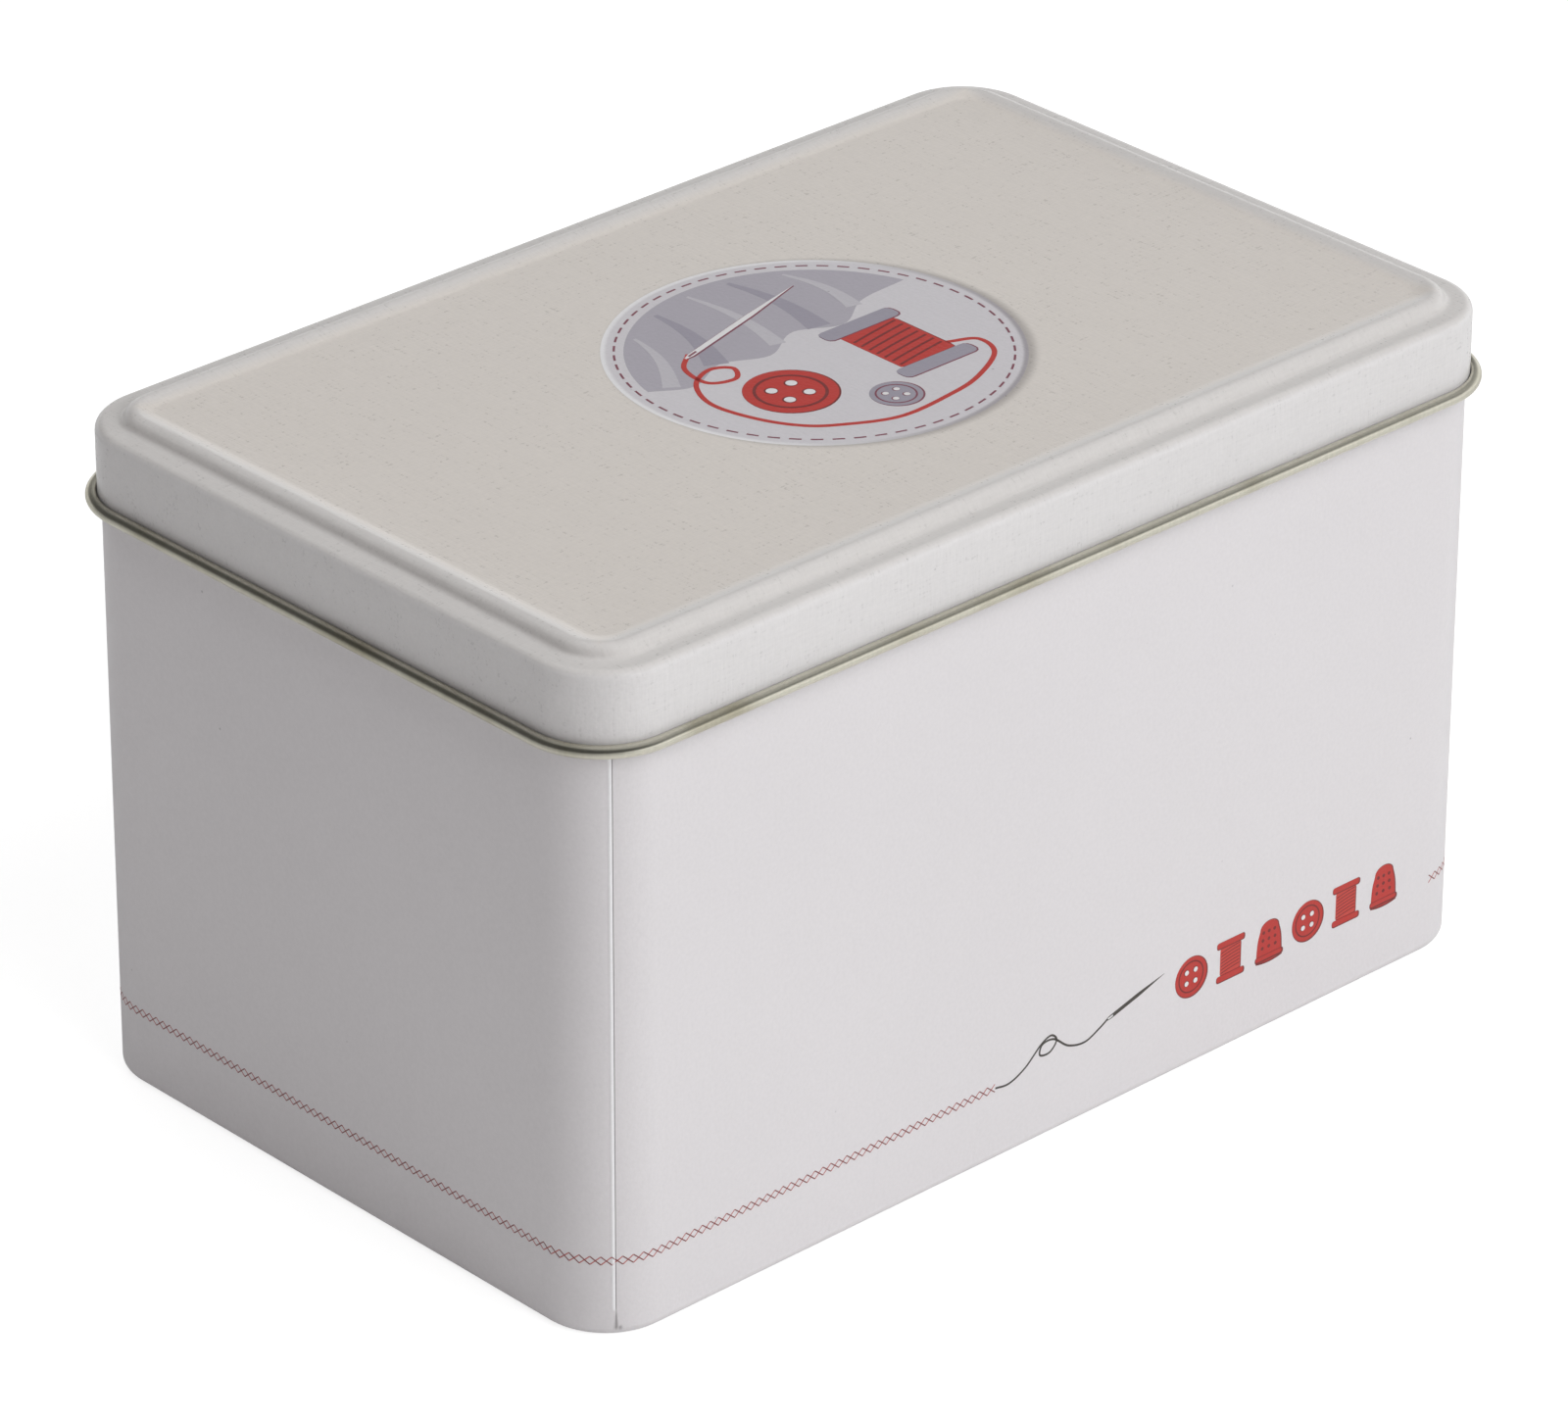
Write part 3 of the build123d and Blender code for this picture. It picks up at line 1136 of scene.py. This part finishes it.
# %% Spool
flange_high = 0.17
flange_round = 0.35
flange_face_round = 0.3
flange_face_inset = 1.4 * edge_line
body_round = 0.5
wound_wide = 0.74
wound_corner = 0.2
turn_high = 0.09
least_turns = 4
turn_points = 7
turn_wide = 0.9
turn_slant = 0.12
turn_sag = 0.3
turn_line = 0.022


def print_spool(page, middle, width, height, face, edge, wound, line, layer=1):
    """Two flanges and the wound thread between them, with its slanting turns."""
    middle = np.asarray(middle, float)
    flange = height * flange_high
    reach = height / 2 - flange / 2
    wound_width = width * wound_wide
    wound_height = height - 2 * flange
    body = soft_box(middle, wound_width, wound_height + flange / 2, flange * body_round)
    page.fill(line, body + shade_shift, layer)
    front = soft_box(middle, wound_width - edge_line, wound_height, wound_corner)
    page.fill(wound, front, layer + 1)
    turns = max(least_turns, round(wound_height / (turn_high * height)))
    level = np.linspace(-0.5, 0.5, turns + 2)[1:-1, None] * wound_height
    share = np.linspace(-0.5, 0.5, turn_points)[None, :]
    x = middle[0] + share * wound_width * turn_wide
    sag = (share**2 - 0.25) * turn_sag
    y = middle[1] + level + share * wound_height * turn_slant - sag
    paths = np.stack([np.broadcast_to(x, y.shape), y], axis=-1)
    page.lines(line, paths, height * turn_line, layer + 2)
    for side in (-1, 1):
        flange_middle = middle + [0, side * reach]
        shade = soft_box(flange_middle + shade_shift, width, flange, flange * flange_round)
        page.fill(edge, shade, layer + 2)
        small_high = flange - flange_face_inset
        small_round = flange * flange_face_round
        small = soft_box(flange_middle, width - edge_line * 2, small_high, small_round)
        page.fill(face, small, layer + 3)


# %% [markdown]
# The thimble's outline is one closed line: up the right side, over the dome, down the left side
# and back along a base that sags a little, as a round rim does when it is seen from above.

# %% Thimble
top_wide = 0.72
waist_wide = 0.46
shoulder_up = 0.3
dome_high = 0.2
base_sag = 0.05
side_points = 9
dome_points = 15
band_down = 0.4
band_wide = 1.08
band_high = 0.16
band_round = 0.06
band_face_high = 0.1
band_face_round = 0.045
dimple_rows = 3
dimple_low = -0.16
dimple_up = 0.19
dimple_across = 0.25
dimple_taper = 0.02
dimple_wide = 0.045
dimple_points = 12


def thimble_outline(width, height):
    """Closed outline round the origin, from the foot of the right side."""
    half = width / 2
    half_top = width * top_wide / 2
    side_knots = [(half, -height / 2), (width * waist_wide, 0), (half_top, height * shoulder_up)]
    right_side = soft_path(side_knots, side_points)
    dome_angle = np.linspace(0, np.pi, dome_points)[1:-1]
    dome_y = height * (shoulder_up + dome_high * np.sin(dome_angle))
    dome = np.stack([half_top * np.cos(dome_angle), dome_y], 1)
    base_x = np.linspace(-half, half, side_points)[1:-1]
    base_y = -height / 2 - base_sag * height * (1 - (base_x / half) ** 2)
    base = np.stack([base_x, base_y], 1)
    return np.concatenate([right_side, dome, right_side[::-1] * [-1, 1], base])


def print_thimble(page, middle, width, height, face, edge, dot, layer=1):
    """A cup that narrows upwards to a domed top, with a band and rows of dimples."""
    middle = np.asarray(middle, float)
    cup = thimble_outline(width, height)
    page.fill(edge, middle + shade_shift + cup, layer)
    page.fill(face, middle + cup * (1 - 2 * edge_line / width), layer + 1)
    band_middle = middle - [0, height * band_down]
    band = soft_box(band_middle, width * band_wide, height * band_high, height * band_round)
    page.fill(edge, band + shade_shift, layer + 2)
    small = soft_box(band_middle, width, height * band_face_high, height * band_face_round)
    page.fill(face, small, layer + 3)
    for row in range(dimple_rows):
        level = height * (dimple_low + dimple_up * row)
        for column in (-1, 0, 1):
            across = width * (dimple_across - dimple_taper * row) * column
            dimple = circle(middle + [across, level], height * dimple_wide, dimple_points)
            page.fill(dot, dimple, layer + 2)


# %% [markdown]
# On the front, a dark thread leaves the last cross stitch, makes one loop and runs through the
# eye of a needle. A needle is a thin bar whose width grows fast at its blunt tail and falls
# slowly to its tip.

# %% The thread and the needle on the front
thread_line = 0.36
thread_points = 120
needle_width = 0.72
needle_points = 30
eye_points = 6
eye_wide = 0.42
tail_rest = 0.03


def on_front(x, height):
    """A place on the wall's page, from x on the front wall and height."""
    return np.stack(np.broadcast_arrays(front_run(np.asarray(x, float)), height), axis=-1)


def between(tail, tip, start, end, count):
    """Points on the way from tail to tip, from a start share to an end share."""
    return tail + np.linspace(start, end, count)[:, None] * (tip - tail)


def needle_widths(width, count, tail_slope, tip_slope, tip_rest):
    """Width along a needle: the lesser of a steep rise and a gentle fall, up to full width."""
    share = np.linspace(0, 1, count)
    tail_part = (share + tail_rest) * tail_slope
    tip_part = (1 + tip_rest - share) * tip_slope
    return width * np.clip(np.minimum(tail_part, tip_part), 0, 1)


thread_knots = np.array([
    (-13.2, 13.2), (-10.2, 12.9), (-6.8, 14.3), (-3.4, 17.1), (-1.2, 17.9), (0.0, 16.6),
    (-1.5, 15.0), (-3.6, 15.3), (-3.1, 17.0), (-0.6, 17.0), (2.6, 14.6), (6.2, 13.8), (9.4, 15.0),
    (11.4, 16.1),
])
thread = soft_path(on_front(thread_knots[:, 0], thread_knots[:, 1]), thread_points)
wall_page.lines("charcoal", thread[None], thread_line, layer=1)

needle_tail = np.array([10.6, 15.75])
needle_tip = np.array([23.6, 19.3])
needle = between(needle_tail, needle_tip, 0, 1, needle_points)
taper = needle_widths(needle_width, needle_points, tail_slope=9, tip_slope=2.2, tip_rest=0.02)
wall_page.lines("charcoal", on_front(needle[:, 0], needle[:, 1])[None], taper[None], layer=2)
eye = between(needle_tail, needle_tip, 0.05, 0.13, eye_points)
wall_page.lines("white", on_front(eye[:, 0], eye[:, 1])[None], needle_width * eye_wide, layer=3)

# %% [markdown]
# Beside the needle stands a row of red notions, with their feet on the stitches' line: a button,
# a spool and a thimble, and the same three again.

# %% The row of notions on the front
motif_low = 12.75
motif_height = 7.3
motif_first = 29.6
motif_pitch = 8.75
motif_count = 6
spool_width = 6.3
thimble_width = 5.9
dark = "deep_red"

for number in range(motif_count):
    middle = on_front(motif_first + number * motif_pitch, motif_low + motif_height / 2)
    kind = number % 3
    if kind == 0:
        print_button(wall_page, middle, motif_height / 2, "red", dark, "white")
    elif kind == 1:
        print_spool(wall_page, middle, spool_width, motif_height, "red", dark, "thread_red", dark)
    else:
        print_thimble(wall_page, middle, thimble_width, motif_height, "red", dark, dark)
wall_page.print_all(inks)
print(f"{motif_count} notions on the front")

# %% [markdown]
# The lid carries a round patch, printed to look as if it were sewn on: a pale bevel, a soft
# shadow and a dashed line of stitches. The bevel's light side is a matter of direction on the
# sheet, not of the view, so it is computed from Object coordinates and stays where the printer
# put it.

# %% The patch on the lid
patch_field = colour(203, 200, 204)
bevel_pale = colour(226, 225, 227)
bevel_dark = colour(158, 153, 158)
bevel_width = 1.1
bevel_end = 0.35
bevel_light = (-0.7, 0.7, 0)
bevel_turn = 0.4
patch_points = 160
patch_rings = 16
patch_middle = np.array([patch_x, patch_y])


def patch_base(tree, place):
    """Lilac grey with a printed bevel: pale towards the back left, dark towards the front."""
    away = from_patch(tree, place)
    rim = ramp(tree, away, (patch_radius - bevel_width) * MM, (patch_radius - bevel_end) * MM)
    centre = (patch_x * MM, patch_y * MM, 0)
    centred = node(tree, "VectorMath", {0: place, 1: centre}, operation="SUBTRACT").outputs[0]
    lit = node(tree, "VectorMath", {0: centred, 1: bevel_light}, operation="DOT_PRODUCT")
    reach = patch_radius * MM
    side = ramp(tree, lit.outputs["Value"], -reach, reach * bevel_turn)
    bevel = mixed(tree, side, bevel_dark, bevel_pale)
    return mixed(tree, rim, patch_field, bevel)


inks["patch"] = lacquer("ink_patch", patch_base, roughness=0.36, linen=0.5, drift=0.08)
patch_outline = circle(patch_middle, patch_radius, patch_points)
lid_page.fill("patch", patch_outline, layer=1, rings=patch_rings)
print("material:", inks["patch"].name)

# %% [markdown]
# The dashes are short arcs at even angles. They get their places here, and are printed after the
# cloth's folds.

# %% The dashed line of the patch
dash_radius = 30.9
dash_length = 1.9
dash_gap = 1.4
dash_width = 0.36
dash_points = 4
dash_count = round(2 * np.pi * dash_radius / (dash_length + dash_gap))
dash_start = np.arange(dash_count)[:, None] * 2 * np.pi / dash_count
dash_angle = dash_start + np.linspace(0, dash_length / dash_radius, dash_points)[None, :]
dashes = patch_middle + dash_radius * np.stack([np.cos(dash_angle), np.sin(dash_angle)], axis=-1)
print(f"{dash_count} dashes")

# %% [markdown]
# A pleated cloth hangs across the top of the patch: a wavy hem, closed by an arc inside the
# dashes. Its folds are tapering bars, pale and dark by turns, wide at the hem and narrow above.

# %% The pleated cloth
cloth_reach = 29.4
cloth_points = 60
cloth_rings = 10
cloth_knots = [
    (-28.6, 6.6), (-22, 3.2), (-14, 6.4), (-6, 3.4), (2, 7.2), (10, 4.0), (18, 8.4), (27.9, 9.3),
]
cloth_wave = soft_path(cloth_knots, cloth_points)
arc_start = np.arctan2(cloth_knots[-1][1], cloth_knots[-1][0])
arc_end = np.arctan2(cloth_knots[0][1], cloth_knots[0][0])
cloth_angle = np.linspace(arc_start, arc_end, cloth_points)[1:-1]
cloth_arc = cloth_reach * np.stack([np.cos(cloth_angle), np.sin(cloth_angle)], axis=1)
cloth_outline = patch_middle + np.concatenate([cloth_wave, cloth_arc])
lid_page.fill("dusk", cloth_outline, layer=2, rings=cloth_rings)

# %% The folds of the cloth
pleat_feet = np.array([(-25.2, 4.9), (-14.6, 6.2), (-2.6, 5.1), (6.4, 5.4), (15.6, 7.3)])
pleat_heads = np.array([(-17.5, 22.4), (-9.5, 26.6), (-1.5, 28.3), (6.5, 27.6), (15.0, 24.0)])
pleat_bow = np.array([1.6, 0.0])
pleat_top_width = 0.6
pleat_flare = 3.0
pleat_share = np.linspace(0.02, 0.97, 16)
dark_width = 1.15
pale_width = 0.8

for number, (foot, head) in enumerate(zip(pleat_feet, pleat_heads)):
    is_dark = number % 2 == 1
    up = pleat_share[:, None]
    path = patch_middle + foot + up * (head - foot) + pleat_bow * np.sin(np.pi * up)
    full_width = pleat_top_width + pleat_flare * (1 - pleat_share)
    width = full_width * (dark_width if is_dark else pale_width)
    lid_page.lines("dusk_deep" if is_dark else "dusk_pale", path[None], width[None], layer=3)
lid_page.lines("maroon", dashes, dash_width, layer=4)
print(f"{len(pleat_feet)} folds in the cloth")

# %% [markdown]
# In front of the cloth lie a spool, two buttons and a threaded needle. The thread comes off the
# spool, runs round the foot of the patch, makes a loop and ends at the needle's eye.

# %% Notions on the patch
print_spool(
    lid_page, patch_middle + [11.5, -6.5], 15.5, 21.0, "dusk_deep", "maroon", "red", "deep_red", 4
)
print_button(lid_page, patch_middle + [-12.5, -8.0], 7.6, "red", "deep_red", "white", 4)
print_button(lid_page, patch_middle + [-1.2, -19.5], 4.3, "dusk_deep", "maroon", "white", 4)

patch_thread_line = 0.85
patch_thread_points = 150
patch_thread_knots = [
    (17.2, -11.5), (21.6, -14.0), (20.0, -19.2), (12.0, -23.6), (4.6, -25.2), (-6.0, -25.6),
    (-14.6, -21.6), (-19.4, -17.6), (-22.9, -11.0), (-24.4, -3.0), (-21.6, 3.4), (-16.6, 6.0),
    (-13.4, 4.0), (-15.6, 1.0), (-19.8, 2.8), (-19.2, 8.6), (-15.2, 12.2),
]
patch_thread = patch_middle + soft_path(patch_thread_knots, patch_thread_points)
lid_page.lines("red", patch_thread[None], patch_thread_line, layer=4)

# %% The needle on the patch
big_needle_tail = patch_middle + [-16.6, 11.3]
big_needle_tip = patch_middle + [13.5, 19.4]
big_needle_width = 1.25
big_needle_points = 40
big_needle_face = 0.8
big_eye_width = 0.42

big_needle = between(big_needle_tail, big_needle_tip, 0, 1, big_needle_points)
big_taper = needle_widths(
    big_needle_width, big_needle_points, tail_slope=12, tip_slope=2.4, tip_rest=0.01
)
lid_page.lines("maroon", big_needle[None] + shade_shift, big_taper[None] + edge_line, layer=5)
lid_page.lines("white", big_needle[None], big_taper[None] * big_needle_face, layer=6)
big_eye = between(big_needle_tail, big_needle_tip, 0.03, 0.1, eye_points)
lid_page.lines("maroon", big_eye[None], big_eye_width, layer=7)
lid_page.print_all(inks)

# %% [markdown]
# The camera stands where the photographer's did. Its place was found by fitting the tin's edges
# to the photograph, and it is kept as plain angles and a distance: turned about the vertical,
# raised above the table, and tilted a hair. The long lens flattens the perspective.

# %% Camera
azimuth = np.radians(-43.125)
elevation = np.radians(28.019)
camera_roll = np.radians(0.18)
camera_distance = 1355.969
aim_height = 50.0
aim_right = 1.319
aim_up = -0.949
focal_pixels = 8792.232
photo_width = 1600
sensor_width = 36.0


def direction(turn, rise):
    """Unit vector from the tin: turned from the front about the vertical, then raised."""
    level = np.cos(rise)
    return np.array([np.sin(turn) * level, -np.cos(turn) * level, np.sin(rise)])


backward = direction(azimuth, elevation)
level_right = np.array([np.cos(azimuth), np.sin(azimuth), 0])
level_up = np.cross(backward, level_right)
camera_right = np.cos(camera_roll) * level_right + np.sin(camera_roll) * level_up
camera_up = np.cos(camera_roll) * level_up - np.sin(camera_roll) * level_right
camera_place = np.array([0, 0, aim_height]) + camera_distance * backward
camera_place = camera_place - aim_right * camera_right - aim_up * camera_up

lens = bpy.data.cameras.new("camera")
lens.sensor_width = sensor_width
lens.lens = sensor_width * focal_pixels / photo_width
camera = bpy.data.objects.new("camera", lens)
axes = np.column_stack([camera_right, camera_up, backward])
camera.matrix_world = Matrix.LocRotScale(
    Vector(camera_place * MM), Matrix(axes.tolist()).to_quaternion(), None
)
bpy.context.scene.collection.objects.link(camera)
bpy.context.scene.camera = camera
print(f"lens {lens.lens:.1f} mm")

# %% [markdown]
# Plain studio light: one large soft box to the right of the camera lights the front and the lid,
# a weaker one overhead evens out the lid, a faint warm one on the left keeps that wall from
# going flat, and the room fills the shadows. A level of 1 means that a white card which faces
# the box, alone, would look white. Power grows with the distance squared. The boxes stand for
# light that comes through a large tent, so they aren't mirrored themselves: the room's tones are.

# %% Lights
lamp_distance = 3.0
white_light = (1.0, 1.0, 1.0)
warm_light = (1.0, 0.87, 0.85)


def soft_light(name, turn, rise, size, level, tint=white_light):
    """Square soft box that looks at the tin's middle, from a turn and a rise in degrees."""
    lamp = bpy.data.lights.new(name, "AREA")
    lamp.color = tint
    lamp.shape = "SQUARE"
    lamp.size = size
    lamp.energy = level * (np.pi * lamp_distance) ** 2
    made = bpy.data.objects.new(name, lamp)
    towards = Vector(direction(np.radians(turn), np.radians(rise)))
    made.location = Vector((0, 0, aim_height * MM)) + towards * lamp_distance
    made.rotation_euler = towards.to_track_quat("Z", "Y").to_euler()
    made.visible_glossy = False
    bpy.context.scene.collection.objects.link(made)
    print(f"{name}: {lamp.energy:.1f} W")


soft_light("key_light", 15, 39, size=3.0, level=0.92)
soft_light("top_light", 178, 67, size=2.6, level=0.32)
soft_light("fill_light", -68, 3, size=2.4, level=0.1, tint=warm_light)

# %% [markdown]
# The room is a soft grey for the light it gives, and white to the camera. Reflections see it
# white up to a little above the horizon, so that the tin shows the pale background too, then a
# dark gap, and a tent that glows overhead. The left is dimmer and its gap is wider, away from
# the key light. The gap draws the dark line along the bead.

# %% Room
room_light = 0.18
gap_light = 0.07
tent_light = 0.45
tent_lean = 0.35
horizon_lean = -0.25
left_share = 0.6
horizon_end = 0.3
left_from = -0.9
left_to = 0.1
tent_from = 0.6
tent_to = 0.98

world = bpy.data.worlds.new("studio")
world.use_nodes = True
bpy.context.scene.world = world
tree = world.node_tree


def blended(tree, factor, first, second):
    """Number between two numbers. A Mix node keeps its number sockets under these numbers."""
    factor_socket, first_socket, second_socket, number_out = 0, 2, 3, 0
    inputs = {factor_socket: factor, first_socket: first, second_socket: second}
    return node(tree, "Mix", inputs, data_type="FLOAT").outputs[number_out]


def seen_directly(tree):
    """1 for rays of the camera and of transmission, 0 for all others."""
    rays = node(tree, "LightPath").outputs
    return sums(tree, "MAXIMUM", rays["Is Camera Ray"], rays["Is Transmission Ray"])


sky = node(tree, "SeparateXYZ", {0: node(tree, "TexCoord").outputs["Generated"]}).outputs
falling = sums(tree, "MULTIPLY_ADD", sky["X"], horizon_lean, sky["Z"])
horizon = ramp(tree, falling, 0.0, horizon_end, 1.0, 0.0)
sideways = ramp(tree, sky["X"], left_from, left_to, left_share, 1.0)
leaning = sums(tree, "MULTIPLY_ADD", sky["X"], tent_lean, sky["Z"])
tent = ramp(tree, leaning, tent_from, tent_to, gap_light, tent_light)
reflected = sums(tree, "MULTIPLY_ADD", horizon, sideways, tent)
in_mirror = node(tree, "LightPath").outputs["Is Glossy Ray"]
indirect = blended(tree, in_mirror, room_light, reflected)
strength = blended(tree, seen_directly(tree), indirect, 1.0)
wire(tree, tree.nodes["Background"], {"Color": colour(255, 255, 255), "Strength": strength})

# %% [markdown]
# The floor is pale, and takes a real shadow. To the camera part of its light is its own, so that
# it reads as white paper, while the shadow under the tin still shows. Reflections see it lit by
# the lamps alone, with a painted shade on the left. There the paper's colour is darker for glossy
# rays, just as the room is dimmer on that side.

# %% Floor
floor_size = 4.0
floor_shade = colour(242, 242, 242)
shown_shade = colour(168, 168, 168)
# painted shade: the paper's colour in reflections, left of the tin
mirrored_left_shade = colour(185, 185, 185)
fade_from = -0.3
fade_to = -0.05
own_light = 0.8

floor_mesh = bpy.data.meshes.new("floor")
reach = floor_size / 2
floor_corners = [(-reach, -reach, 0), (reach, -reach, 0), (reach, reach, 0), (-reach, reach, 0)]
floor_mesh.from_pydata(floor_corners, [], [(0, 1, 2, 3)])
floor = bpy.data.objects.new("floor", floor_mesh)
bpy.context.scene.collection.objects.link(floor)

paper = bpy.data.materials.new("paper")
paper.use_nodes = True
tree = paper.node_tree
tree.nodes.remove(tree.nodes["Principled BSDF"])
floor_x = node(tree, "SeparateXYZ", {0: node(tree, "TexCoord").outputs["Object"]}).outputs["X"]
# painted shade: glossy rays see the paper darker towards the left
fading = ramp(tree, floor_x, fade_from, fade_to, 1.0, 0.0)
left_shade_in_mirror = sums(tree, "MULTIPLY", fading, node(tree, "LightPath").outputs["Is Glossy Ray"])
paper_tone = mixed(tree, left_shade_in_mirror, floor_shade, mirrored_left_shade)
plain = node(tree, "BsdfDiffuse", {"Color": paper_tone}).outputs[0]
shown = node(tree, "BsdfDiffuse", {"Color": shown_shade}).outputs[0]
glow = node(tree, "Emission", {"Color": colour(255, 255, 255), "Strength": own_light}).outputs[0]
bright = node(tree, "AddShader", {0: shown, 1: glow}).outputs[0]
surface = node(tree, "MixShader", {0: seen_directly(tree), 1: plain, 2: bright}).outputs[0]
tree.links.new(surface, tree.nodes["Material Output"].inputs["Surface"])
floor_mesh.materials.append(paper)

# %% [markdown]
# The Standard view shows colours as they are, without a film look.

# %% View
bpy.context.scene.view_settings.view_transform = "Standard"
